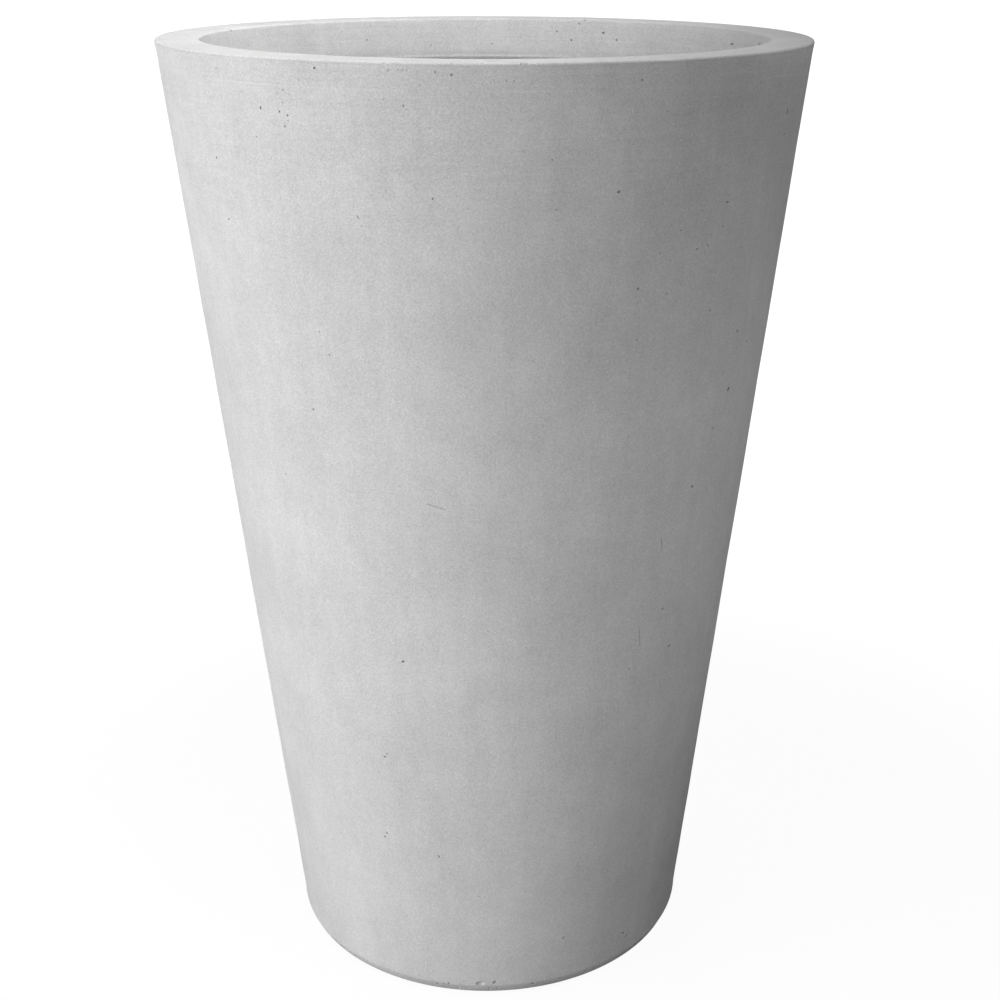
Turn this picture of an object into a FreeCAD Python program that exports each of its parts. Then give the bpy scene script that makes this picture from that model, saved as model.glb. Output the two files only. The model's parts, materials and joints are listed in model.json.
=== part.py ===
import FreeCAD, Part
import os
import Sketcher

# A tall round floor planter cast in fibre cement. One thin tapered shell carries a
# thick folded-in rim at the top and a foot ring at the bottom. The floor inside falls
# to one drain hole, which a ribbed rubber plug closes from above. Four rubber pads
# under the foot ring hold the drain clear of the ground.
# Millimetres, Z up, origin on the ground under the middle of the pot.

SIZES = {
    # shell, outside
    "overall_height": 900,
    "rim_diameter": 600,
    "base_diameter": 398,
    "base_edge_height": 10,
    "base_edge_inset": 5,
    # rim folded in at the mouth
    "rim_width": 40,
    "rim_edge_chamfer": 2.5,
    "lip_depth": 42,
    "lip_edge_chamfer": 1.5,
    "lip_haunch_drop": 14,
    # wall, floor and foot ring
    "wall_thickness": 12,
    "floor_thickness": 18,
    "floor_fall": 5,
    "floor_corner_chamfer": 16,
    "foot_ring_width": 44,
    "foot_recess_depth": 7,
    "foot_recess_chamfer": 3,
    # drain hole in the floor and the flat land round it
    "drain_diameter": 30,
    "drain_land_diameter": 70,
    "drain_edge_chamfer": 1.5,
    # drain plug
    "plug_clearance": 0.3,
    "plug_tail": 3,
    "plug_tail_chamfer": 2.5,
    "plug_flange_diameter": 54,
    "plug_flange_thickness": 5,
    "plug_neck_diameter": 15,
    "plug_neck_height": 9,
    "plug_knob_diameter": 27,
    "plug_knob_thickness": 9,
    "plug_knob_chamfer": 2.5,
    "plug_edge_chamfer": 1.2,
    "seal_rib_height": 1.2,
    "seal_rib_width": 3,
    "seal_rib_start": 4,
    "seal_rib_pitch": 5,
    "seal_rib_count": 3,
    # foot pads
    "pad_thickness": 2,
    "pad_diameter": 26,
    "pad_edge_chamfer": 0.6,
    "pad_count": 4,
}

# heights and radii that more than one piece is set from
FLOOR_LEVEL = "Sizes.pad_thickness + Sizes.foot_recess_depth + Sizes.floor_thickness"
PAD_RING_RADIUS = "((Sizes.base_diameter - Sizes.foot_ring_width) / 2 - Sizes.base_edge_inset)"
# the first pad stands half a step round from the X axis
FIRST_PAD_SHARE = 0.5

FULL_TURN = 360


def make_sheet(doc):
    """Write every driving size to the sheet, one row each, under its own alias."""
    sheet = doc.addObject("Spreadsheet::Sheet", "Sizes")
    for row, (alias, value) in enumerate(SIZES.items(), start=1):
        sheet.set(f"A{row}", alias)
        sheet.set(f"B{row}", str(value))
        sheet.setAlias(f"B{row}", alias)
    doc.recompute()
    return sheet


def origin_plane(body, role):
    return next(plane for plane in body.Origin.OriginFeatures if plane.Role == role)


def new_sketch(body, name, role):
    sketch = body.newObject("Sketcher::SketchObject", name)
    sketch.AttachmentSupport = [(origin_plane(body, role), "")]
    sketch.MapMode = "FlatFace"
    return sketch


def sketch_origin():
    """A sketch knows its origin as the start of its level axis, which has the index -1."""
    return -1, 1


def level_axis():
    return -1


def upright_axis():
    return -2


class Outline:
    """A closed run of straight lines on the upright plane, dimensioned from the sheet.

    Each line is named for the corner that it starts from.
    """

    def __init__(self, body, name, corners):
        self.sketch = new_sketch(body, name, "XZ_Plane")
        self.lines = {corner: index for index, corner in enumerate(corners)}
        places = [FreeCAD.Vector(radius, height, 0) for radius, height in corners.values()]
        for start, end in zip(places, places[1:] + places[:1]):
            self.sketch.addGeometry(Part.LineSegment(start, end), False)
        for index in range(len(places)):
            following = (index + 1) % len(places)
            self.rule("Coincident", index, 2, following, 1)

    def rule(self, kind, *picks):
        return self.sketch.addConstraint(Sketcher.Constraint(kind, *picks))

    def end(self, corner):
        return sketch_origin() if corner is None else (self.lines[corner], 1)

    def level(self, *corners):
        for corner in corners:
            self.rule("Horizontal", self.lines[corner])

    def upright(self, *corners):
        for corner in corners:
            self.rule("Vertical", self.lines[corner])

    def on_ground(self, corner):
        self.rule("PointOnObject", *self.end(corner), level_axis())

    def on_axis(self, corner):
        self.rule("PointOnObject", *self.end(corner), upright_axis())

    def parallel(self, first, second):
        self.rule("Parallel", self.lines[first], self.lines[second])

    def dimension(self, kind, name, picks, expression):
        value = self.sketch.evalExpression(expression)
        index = self.rule(kind, *picks, value)
        self.sketch.renameConstraint(index, name)
        self.sketch.setExpression(f"Constraints.{name}", expression)

    def across(self, name, start, stop, expression):
        self.dimension("DistanceX", name, (*self.end(start), *self.end(stop)), expression)

    def rise(self, name, start, stop, expression):
        self.dimension("DistanceY", name, (*self.end(start), *self.end(stop)), expression)

    def apart(self, name, corner, line, expression):
        self.dimension("Distance", name, (*self.end(corner), self.lines[line]), expression)

    def place(self, corner):
        return self.sketch.getPoint(*self.end(corner))

    def turned(self, body, name):
        """Turn the outline once round the upright axis."""
        turn = body.newObject("PartDesign::Revolution", name)
        turn.Profile = self.sketch
        turn.ReferenceAxis = (self.sketch, ["V_Axis"])
        turn.Angle = FULL_TURN
        body.Document.recompute()
        return turn


def ring_edges(shape, places):
    """Name the round edges that pass through the given corners of a turned outline."""
    edges = [(f"Edge{number}", edge.Curve) for number, edge in enumerate(shape.Edges, start=1)]
    rings = [(name, curve) for name, curve in edges if isinstance(curve, Part.Circle)]

    def nearest(place):
        def distance(ring):
            return abs(ring[1].Radius - place.x) + abs(ring[1].Center.z - place.y)
        return min(rings, key=distance)[0]

    return [nearest(place) for place in places]


def break_corners(body, name, places, expression):
    """Chamfer the ring edges at the given corners."""
    base = body.Tip
    chamfer = body.newObject("PartDesign::Chamfer", name)
    chamfer.Base = (base, ring_edges(base.Shape, places))
    chamfer.setExpression("Size", expression)
    body.Tip = chamfer
    body.Document.recompute()


def circle_sketch(body, name, expression):
    """A circle on the level plane round the body's own origin."""
    sketch = new_sketch(body, name, "XY_Plane")
    diameter = sketch.evalExpression(expression)
    circle = Part.Circle(FreeCAD.Vector(), FreeCAD.Vector(0, 0, 1), diameter / 2)
    sketch.addGeometry(circle, False)
    sketch.addConstraint(Sketcher.Constraint("Coincident", 0, 3, *sketch_origin()))
    index = sketch.addConstraint(Sketcher.Constraint("Diameter", 0, diameter))
    sketch.renameConstraint(index, "diameter")
    sketch.setExpression("Constraints.diameter", expression)
    return sketch


def make_shell(doc, sizes):
    """The casting: tapered wall, folded-in rim, dished floor and foot ring."""
    body = doc.addObject("PartDesign::Body", "pot_shell")
    top = sizes.overall_height
    bottom = sizes.pad_thickness
    rim = sizes.rim_diameter / 2
    base = sizes.base_diameter / 2
    mouth = rim - sizes.rim_width
    underside = bottom + sizes.foot_recess_depth
    floor = underside + sizes.floor_thickness
    lip = top - sizes.lip_depth
    tread = base - sizes.base_edge_inset
    outline = Outline(body, "shell_outline", {
        "ring_inside": (tread - sizes.foot_ring_width, bottom),
        "ring_outside": (tread, bottom),
        "base_outside": (base, bottom + sizes.base_edge_height),
        "rim_outside": (rim, top),
        "rim_inside": (mouth, top),
        "lip_bottom": (mouth, lip),
        "wall_top": (rim - sizes.wall_thickness, lip - sizes.lip_haunch_drop),
        "wall_bottom": (base - sizes.wall_thickness, floor + sizes.floor_fall),
        "land_edge": (sizes.drain_land_diameter / 2, floor),
        "floor_middle": (0, floor),
        "underside_middle": (0, underside),
        "recess_corner": (tread - sizes.foot_ring_width, underside),
    })
    outline.level("ring_inside", "rim_outside", "land_edge", "underside_middle")
    outline.upright("rim_inside", "floor_middle", "recess_corner")
    outline.on_axis("floor_middle")
    outline.parallel("wall_top", "base_outside")
    outline.across("base_radius", None, "base_outside", "Sizes.base_diameter / 2")
    outline.rise("stand_off", None, "ring_outside", "Sizes.pad_thickness")
    outline.rise("edge_height", "ring_outside", "base_outside", "Sizes.base_edge_height")
    outline.across("edge_inset", "ring_outside", "base_outside", "Sizes.base_edge_inset")
    outline.across("rim_radius", None, "rim_outside", "Sizes.rim_diameter / 2")
    outline.rise("height", None, "rim_outside", "Sizes.overall_height")
    outline.across("rim_width", "rim_inside", "rim_outside", "Sizes.rim_width")
    outline.rise("lip_depth", "lip_bottom", "rim_inside", "Sizes.lip_depth")
    outline.rise("haunch_drop", "wall_top", "lip_bottom", "Sizes.lip_haunch_drop")
    outline.apart("wall", "wall_top", "base_outside", "Sizes.wall_thickness")
    outline.across("ring_width", "ring_inside", "ring_outside", "Sizes.foot_ring_width")
    outline.rise("recess_depth", "ring_inside", "recess_corner", "Sizes.foot_recess_depth")
    outline.rise("floor", "underside_middle", "floor_middle", "Sizes.floor_thickness")
    outline.rise("fall", "land_edge", "wall_bottom", "Sizes.floor_fall")
    outline.across("land_radius", None, "land_edge", "Sizes.drain_land_diameter / 2")
    outline.turned(body, "shell_turn")

    rim_corners = [outline.place("rim_outside"), outline.place("rim_inside")]
    recess_corners = [outline.place("ring_inside"), outline.place("recess_corner")]
    break_corners(body, "rim_edges", rim_corners, "Sizes.rim_edge_chamfer")
    break_corners(body, "lip_edge", [outline.place("lip_bottom")], "Sizes.lip_edge_chamfer")
    break_corners(body, "floor_corner", [outline.place("wall_bottom")], "Sizes.floor_corner_chamfer")
    break_corners(body, "recess_edges", recess_corners, "Sizes.foot_recess_chamfer")

    uncut = body.Tip.Shape.Volume
    circle = circle_sketch(body, "drain_circle", "Sizes.drain_diameter")
    drain = body.newObject("PartDesign::Pocket", "drain")
    drain.Profile = circle
    drain.Type = "ThroughAll"
    drain.Midplane = True
    body.Tip = drain
    doc.recompute()
    if drain.Shape.Volume >= uncut:
        raise RuntimeError("the drain hole cuts nothing")
    drain_top = FreeCAD.Vector(sizes.drain_diameter / 2, floor, 0)
    break_corners(body, "drain_edge", [drain_top], "Sizes.drain_edge_chamfer")
    return body


def make_plug(doc, sizes):
    """The rubber plug: ribbed stem in the drain, flange on the land, knob to pull it by."""
    body = doc.addObject("PartDesign::Body", "drain_plug")
    core = "(Sizes.drain_diameter / 2 - Sizes.plug_clearance - Sizes.seal_rib_height)"
    core_radius = sizes.drain_diameter / 2 - sizes.plug_clearance - sizes.seal_rib_height
    flange = sizes.plug_flange_diameter / 2
    neck = sizes.plug_neck_diameter / 2
    knob = sizes.plug_knob_diameter / 2
    tail = -(sizes.floor_thickness + sizes.plug_tail)
    flange_top = sizes.plug_flange_thickness
    knob_base = flange_top + sizes.plug_neck_height
    knob_top = knob_base + sizes.plug_knob_thickness
    outline = Outline(body, "plug_outline", {
        "tail_middle": (0, tail),
        "tail_edge": (core_radius, tail),
        "stem_top": (core_radius, 0),
        "flange_base": (flange, 0),
        "flange_edge": (flange, flange_top),
        "neck_base": (neck, flange_top),
        "neck_top": (neck, knob_base),
        "knob_base": (knob, knob_base),
        "knob_edge": (knob, knob_top),
        "knob_middle": (0, knob_top),
    })
    outline.level("tail_middle", "stem_top", "flange_edge", "neck_top", "knob_edge")
    outline.upright("tail_edge", "flange_base", "neck_base", "knob_base", "knob_middle")
    outline.on_axis("tail_middle")
    outline.on_ground("stem_top")
    outline.across("core_radius", None, "stem_top", core)
    outline.rise("stem_length", "tail_edge", "stem_top", "Sizes.floor_thickness + Sizes.plug_tail")
    outline.across("flange_radius", None, "flange_base", "Sizes.plug_flange_diameter / 2")
    outline.rise("flange", "flange_base", "flange_edge", "Sizes.plug_flange_thickness")
    outline.across("neck_radius", None, "neck_base", "Sizes.plug_neck_diameter / 2")
    outline.rise("neck", "neck_base", "neck_top", "Sizes.plug_neck_height")
    outline.across("knob_radius", None, "knob_base", "Sizes.plug_knob_diameter / 2")
    outline.rise("knob", "knob_base", "knob_edge", "Sizes.plug_knob_thickness")
    outline.turned(body, "plug_turn")

    rib_bottom = -(sizes.seal_rib_start + sizes.seal_rib_width)
    rib = Outline(body, "rib_outline", {
        "rib_bottom": (core_radius, rib_bottom),
        "rib_tip": (core_radius + sizes.seal_rib_height, rib_bottom + sizes.seal_rib_width / 2),
        "rib_top": (core_radius, -sizes.seal_rib_start),
    })
    rib.upright("rib_top")
    rib.across("core_radius", None, "rib_bottom", core)
    rib.across("rib_height", "rib_bottom", "rib_tip", "Sizes.seal_rib_height")
    rib.rise("rib_start", "rib_top", None, "Sizes.seal_rib_start")
    rib.rise("rib_width", "rib_bottom", "rib_top", "Sizes.seal_rib_width")
    rib.rise("rib_middle", "rib_bottom", "rib_tip", "Sizes.seal_rib_width / 2")
    first_rib = rib.turned(body, "first_rib")
    ribs = body.newObject("PartDesign::LinearPattern", "seal_ribs")
    ribs.Originals = [first_rib]
    ribs.Direction = (rib.sketch, ["V_Axis"])
    ribs.Reversed = True
    ribs.setExpression("Length", "Sizes.seal_rib_pitch * (Sizes.seal_rib_count - 1)")
    ribs.setExpression("Occurrences", "Sizes.seal_rib_count")
    body.Tip = ribs
    doc.recompute()

    flange_corners = [outline.place("flange_base"), outline.place("flange_edge")]
    break_corners(body, "knob_top", [outline.place("knob_edge")], "Sizes.plug_knob_chamfer")
    break_corners(body, "knob_underside", [outline.place("knob_base")], "Sizes.plug_edge_chamfer")
    break_corners(body, "flange_edges", flange_corners, "Sizes.plug_edge_chamfer")
    break_corners(body, "tail_edge", [outline.place("tail_edge")], "Sizes.plug_tail_chamfer")
    body.setExpression("Placement.Base.z", FLOOR_LEVEL)
    return body


def make_pad(doc, name, angle):
    """One rubber pad, stuck to the flat of the foot ring at the given angle."""
    body = doc.addObject("PartDesign::Body", name)
    circle = circle_sketch(body, f"{name}_circle", "Sizes.pad_diameter")
    disc = body.newObject("PartDesign::Pad", f"{name}_disc")
    disc.Profile = circle
    disc.setExpression("Length", "Sizes.pad_thickness")
    body.Tip = disc
    doc.recompute()
    tread = FreeCAD.Vector(circle.getDatum("diameter").Value / 2, 0, 0)
    break_corners(body, f"{name}_edge", [tread], "Sizes.pad_edge_chamfer")
    body.setExpression("Placement.Base.x", f"{PAD_RING_RADIUS} * cos({angle}deg)")
    body.setExpression("Placement.Base.y", f"{PAD_RING_RADIUS} * sin({angle}deg)")
    return body


def make_pads(doc, sizes):
    step = FULL_TURN / sizes.pad_count
    return [
        make_pad(doc, f"foot_pad_{number + 1}", step * (number + FIRST_PAD_SHARE))
        for number in range(int(sizes.pad_count))
    ]


def write_parts(doc, bodies):
    """Write each piece to its own file, once everything is sound."""
    doc.recompute()
    for item in doc.Objects:
        if {"Invalid", "Error"} & set(item.State):
            raise RuntimeError(f"{item.Label} failed to build")
    for body in bodies:
        if body.Shape.isNull() or not body.Shape.isValid():
            raise RuntimeError(f"{body.Label} has no sound shape")
    os.makedirs("parts", exist_ok=True)
    for body in bodies:
        body.Shape.exportStep(f"parts/{body.Label}.step")
        print(f"{body.Label}: {body.Shape.Volume:.0f} cubic mm, {len(body.Shape.Solids)} solid")


def main():
    doc = FreeCAD.newDocument("floor_planter")
    sizes = make_sheet(doc)
    bodies = [make_shell(doc, sizes), make_plug(doc, sizes), *make_pads(doc, sizes)]
    write_parts(doc, bodies)


main()
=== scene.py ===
import json
import math
import random
from collections import Counter

import bpy
from mathutils import Matrix, Vector


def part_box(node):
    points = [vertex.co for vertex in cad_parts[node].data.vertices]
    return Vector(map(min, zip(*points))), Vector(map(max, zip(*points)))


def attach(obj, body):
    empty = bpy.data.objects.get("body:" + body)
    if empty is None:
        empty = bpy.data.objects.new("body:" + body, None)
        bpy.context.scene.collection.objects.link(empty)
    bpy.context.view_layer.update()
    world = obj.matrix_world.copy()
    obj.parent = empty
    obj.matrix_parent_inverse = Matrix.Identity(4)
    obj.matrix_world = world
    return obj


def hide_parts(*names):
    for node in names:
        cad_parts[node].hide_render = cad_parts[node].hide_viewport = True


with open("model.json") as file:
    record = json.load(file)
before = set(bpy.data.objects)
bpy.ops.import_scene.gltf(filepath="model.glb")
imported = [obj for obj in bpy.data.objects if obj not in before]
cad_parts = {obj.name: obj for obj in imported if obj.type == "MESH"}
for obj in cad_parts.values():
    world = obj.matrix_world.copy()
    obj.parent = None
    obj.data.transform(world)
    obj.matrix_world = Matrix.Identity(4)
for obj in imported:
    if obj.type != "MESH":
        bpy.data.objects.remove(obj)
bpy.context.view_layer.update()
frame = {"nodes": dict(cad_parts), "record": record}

# A tall tapered floor planter, cast in grey fibre cement and rubbed down by hand.
# Metres, Z up, origin on the ground under the middle of the pot.

MM = 0.001

# Sizes of the casting, read from the frame where it states them
shell_low, shell_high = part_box("pot_shell")
plug_low, plug_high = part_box("drain_plug")
mouth = next(mount for mount in frame["record"]["mounts"] if mount["name"] == "mouth")
TOP = shell_high.z
FOOT = shell_low.z
MOUTH_RADIUS = mouth["dims"]["r_mm"] * MM
RIM_WIDTH = 40 * MM
# What rubbing down took off the outside of the rim
RUBBED_OFF = 0.3 * MM
RIM_RADIUS = MOUTH_RADIUS + RIM_WIDTH - RUBBED_OFF
RIM_ROUNDING = 2.3 * MM
MOUTH_ROUNDING = 2.6 * MM
BASE_RADIUS = 199 * MM
BASE_EDGE_HEIGHT = 10 * MM
BASE_EDGE_INSET = 5 * MM
LIP_DEPTH = 42 * MM
LIP_EDGE = 1.5 * MM
LIP_GROOVE = 38.3 * MM
GROOVE_DEPTH = 0.36 * MM
GROOVE_HALF = 1.2 * MM
HAUNCH_DROP = 14 * MM
WALL = 12 * MM
RECESS_DEPTH = 7 * MM
FLOOR_THICKNESS = 18 * MM
FLOOR_FALL = 5 * MM
FLOOR_CORNER = 20 * MM
RING_WIDTH = 44 * MM
DRAIN_RADIUS = 15 * MM
LAND_RADIUS = 35 * MM

UNDERSIDE = FOOT + RECESS_DEPTH
FLOOR = UNDERSIDE + FLOOR_THICKNESS
BASE_EDGE_TOP = FOOT + BASE_EDGE_HEIGHT
TREAD_RADIUS = BASE_RADIUS - BASE_EDGE_INSET
TAPER = (RIM_RADIUS - BASE_RADIUS) / (TOP - BASE_EDGE_TOP)


def outer_radius(height):
    """Radius of the outer wall at a height."""
    return BASE_RADIUS + TAPER * (height - BASE_EDGE_TOP)


def inner_radius(height):
    """Radius of the inner wall, one wall thickness inside the outer one."""
    return outer_radius(height) - WALL * math.hypot(1, TAPER)


LIP_BOTTOM = TOP - LIP_DEPTH
HAUNCH = LIP_BOTTOM - HAUNCH_DROP
FLOOR_EDGE = FLOOR + FLOOR_FALL

# The casting's corners, as radius and height, from the drain's outlet out and round to its inlet
SHELL_CORNERS = {
    "drain_outlet": (DRAIN_RADIUS, UNDERSIDE),
    "recess_corner": (TREAD_RADIUS - RING_WIDTH, UNDERSIDE),
    "ring_inside": (TREAD_RADIUS - RING_WIDTH, FOOT),
    "ring_outside": (TREAD_RADIUS, FOOT),
    "base_outside": (BASE_RADIUS, BASE_EDGE_TOP),
    "rim_outside": (RIM_RADIUS, TOP),
    "rim_inside": (MOUTH_RADIUS, TOP),
    "groove_top": (MOUTH_RADIUS, TOP - LIP_GROOVE + GROOVE_HALF),
    "groove_floor": (MOUTH_RADIUS + GROOVE_DEPTH, TOP - LIP_GROOVE),
    "groove_bottom": (MOUTH_RADIUS, TOP - LIP_GROOVE - GROOVE_HALF),
    "lip_bottom": (MOUTH_RADIUS, LIP_BOTTOM),
    "wall_top": (inner_radius(HAUNCH), HAUNCH),
    "wall_bottom": (inner_radius(FLOOR_EDGE), FLOOR_EDGE),
    "land_edge": (LAND_RADIUS, FLOOR),
    "drain_inlet": (DRAIN_RADIUS, FLOOR),
}
SHELL_SEGMENTS = 256
# Roundings of the casting: corner, size and number of steps
SHELL_ROUNDINGS = (
    ("rim_outside", RIM_ROUNDING, 5),
    ("rim_inside", MOUTH_ROUNDING, 5),
    ("lip_bottom", LIP_EDGE, 1),
    ("wall_top", 6 * MM, 3),
    ("base_outside", 1.2 * MM, 2),
    ("ring_outside", 1.5 * MM, 2),
    ("ring_inside", 2 * MM, 2),
    ("recess_corner", 3 * MM, 2),
    ("wall_bottom", FLOOR_CORNER, 5),
    ("drain_inlet", 1.5 * MM, 2),
)
# Runs between two corners that are divided into rings of faces, and the number of cuts
SHELL_DIVISIONS = (
    ("base_outside", "rim_outside", 99),
    ("wall_top", "wall_bottom", 59),
    ("rim_inside", "groove_top", 4),
    ("rim_outside", "rim_inside", 4),
    ("wall_bottom", "land_edge", 9),
    ("drain_outlet", "recess_corner", 9),
    ("ring_inside", "ring_outside", 4),
)

# The drain plug: its gaps in the drain, and its corners from the tail up through the seal ribs to the knob
STEM_GAP = 1.5 * MM
RIB_GAP = 0.3 * MM
RIB_DROPS = (14 * MM, 9 * MM, 4 * MM)
RIB_WIDTH = 3 * MM
FLANGE_THICKNESS = 5 * MM
FLANGE_RADIUS = 27 * MM
NECK_HEIGHT = 9 * MM
NECK_RADIUS = 7.5 * MM
KNOB_RADIUS = 13.5 * MM
# The first and last rings, each closed with a face
END_RADIUS = 1 * MM
STEM_RADIUS = DRAIN_RADIUS - STEM_GAP
RIB_RADIUS = DRAIN_RADIUS - RIB_GAP
RIB_TOPS = [FLOOR - drop for drop in RIB_DROPS]
FLANGE_TOP = FLOOR + FLANGE_THICKNESS
KNOB_BASE = FLANGE_TOP + NECK_HEIGHT
KNOB_TOP = plug_high.z
TAIL = plug_low.z
PLUG_CORNERS = [
    (END_RADIUS, TAIL),
    (STEM_RADIUS, TAIL),
    *((radius, top - RIB_WIDTH * share) for top in RIB_TOPS
      for radius, share in ((STEM_RADIUS, 1), (RIB_RADIUS, 0.5), (STEM_RADIUS, 0))),
    (STEM_RADIUS, FLOOR),
    (FLANGE_RADIUS, FLOOR),
    (FLANGE_RADIUS, FLANGE_TOP),
    (NECK_RADIUS, FLANGE_TOP),
    (NECK_RADIUS, KNOB_BASE),
    (KNOB_RADIUS, KNOB_BASE),
    (KNOB_RADIUS, KNOB_TOP),
    (END_RADIUS, KNOB_TOP),
]
PLUG_SEGMENTS = 96
# Roundings of the plug: corner, size and number of steps
PLUG_ROUNDINGS = (
    ((STEM_RADIUS, TAIL), 2.5 * MM, 3),
    *(((RIB_RADIUS, top - 0.5 * RIB_WIDTH), 0.5 * MM, 3) for top in RIB_TOPS),
    ((STEM_RADIUS, FLOOR), 0.8 * MM, 2),
    ((FLANGE_RADIUS, FLOOR), 1.2 * MM, 3),
    ((FLANGE_RADIUS, FLANGE_TOP), 1.2 * MM, 4),
    ((NECK_RADIUS, FLANGE_TOP), 2.0 * MM, 4),
    ((NECK_RADIUS, KNOB_BASE), 1.5 * MM, 3),
    ((KNOB_RADIUS, KNOB_BASE), 1.2 * MM, 3),
    ((KNOB_RADIUS, KNOB_TOP), 2.5 * MM, 5),
)

# Which edges count as a corner's ring, and as a run: slack, and shares of the run's length
RING_SLACK = 0.1 * MM
RUN_LEAST = 0.5
RUN_OFF_MIDDLE = 0.2
SMOOTH_ANGLE = math.radians(35)

# Unevenness of the cast faces: depth of the hollows and their size
OUTER_HOLLOWS = (0.9 * MM, 70 * MM)
RIM_HOLLOWS = (0.25 * MM, 40 * MM)
INNER_HOLLOWS = (2.5 * MM, 45 * MM)
# How far the hollows stay from the ends of each face, and how near to a wall a point lies on it
OUTER_FOOT_MARGIN = 5 * MM
OUTER_TOP_MARGIN = 4 * MM
RIM_EDGE_MARGIN = 4 * MM
LIP_MARGIN = 6 * MM
INNER_FOOT_MARGIN = 25 * MM
INNER_TOP_MARGIN = 8 * MM
ON_WALL = 3 * MM

# The camera of the photograph, fitted to its outline of the rim, the sides and the base
PHOTO_WIDTH = 1000
FOCAL_PIXELS = 1581.6
PRINCIPAL_PIXEL = (530.2, 416.7)
CAMERA_AT = Vector((0.0419, -1.5007, 1.0019))
CAMERA_PITCH = math.radians(17.451)
CAMERA_ROLL = 0.00359
SENSOR_WIDTH = 36.0

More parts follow.
